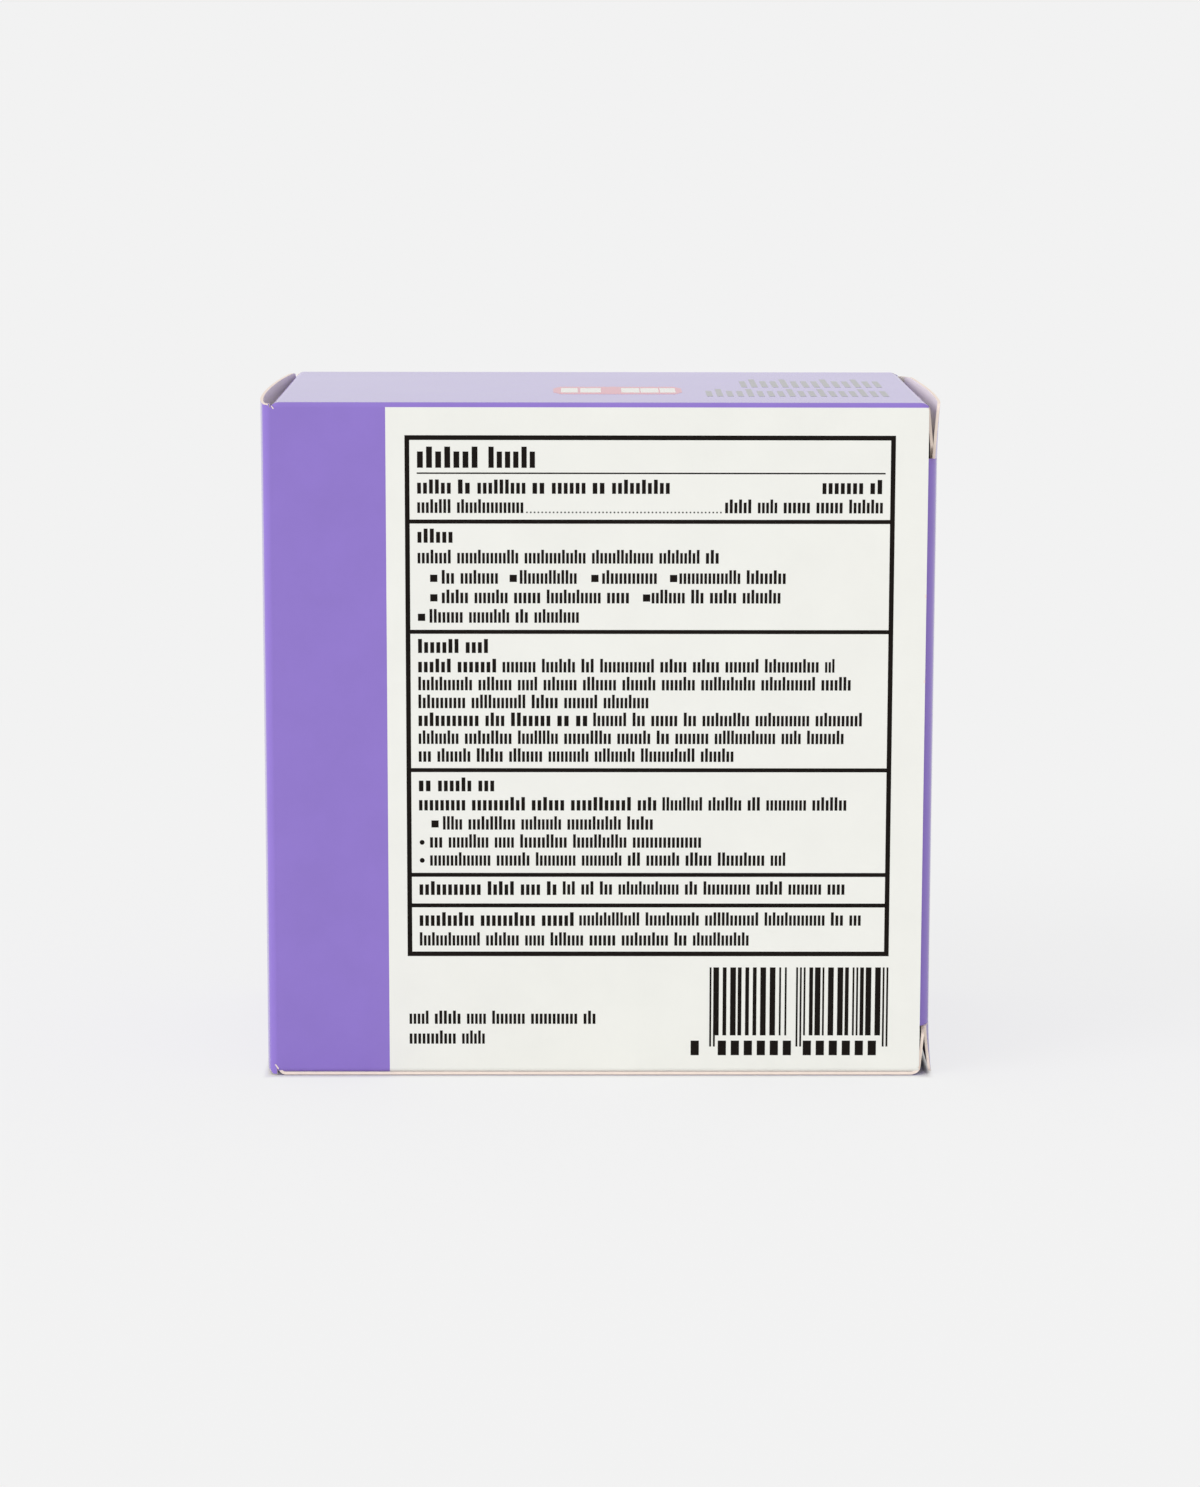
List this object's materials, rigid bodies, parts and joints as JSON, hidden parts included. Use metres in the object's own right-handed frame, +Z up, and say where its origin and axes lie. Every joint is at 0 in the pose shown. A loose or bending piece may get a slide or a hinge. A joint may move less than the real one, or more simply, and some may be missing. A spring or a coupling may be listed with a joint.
{
  "type": "folding carton of tablets",
  "caption": "Tuck-end folding carton standing on its bottom panel, with hinged end flaps, dust flaps, blister strips and a folded leaflet inside.",
  "frame": {"origin": "centre of the carton's footprint, on the surface that it stands on", "axes": "+Z up; +Y from the rear information panel to the front panel; +X towards the end whose flap is creased on the front panel"},
  "size_m": [0.0947, 0.054, 0.0942],
  "materials": {
    "board": "varnished print",
    "film": "white thermoformed film",
    "leaflet": "uncoated"
  },
  "bodies": {
    "carton": {"carton": "board", "leaflet": "leaflet", "blister_strip_1": "film", "blister_strip_2": "film", "blister_strip_3": "film", "blister_strip_4": "film", "blister_strip_5": "film", "blister_strip_6": "film", "blister_strip_7": "film", "blister_strip_8": "film", "blister_strip_9": "film", "blister_strip_10": "film", "blister_strip_11": "film", "blister_strip_12": "film"},
    "left_flap": {"left_end_flap": "board"},
    "right_flap": {"right_end_flap": "board"}
  },
  "joints": [
    {"name": "left_flap_hinge", "type": "hinge", "parent": "carton", "child": "left_flap", "pos_m": [-0.04605, -0.0258, 0.0471], "axis": [0, 0, 1], "range_deg": [0, 150]},
    {"name": "right_flap_hinge", "type": "hinge", "parent": "carton", "child": "right_flap", "pos_m": [0.04605, 0.0258, 0.0471], "axis": [0, 0, 1], "range_deg": [0, 150]}
  ]
}
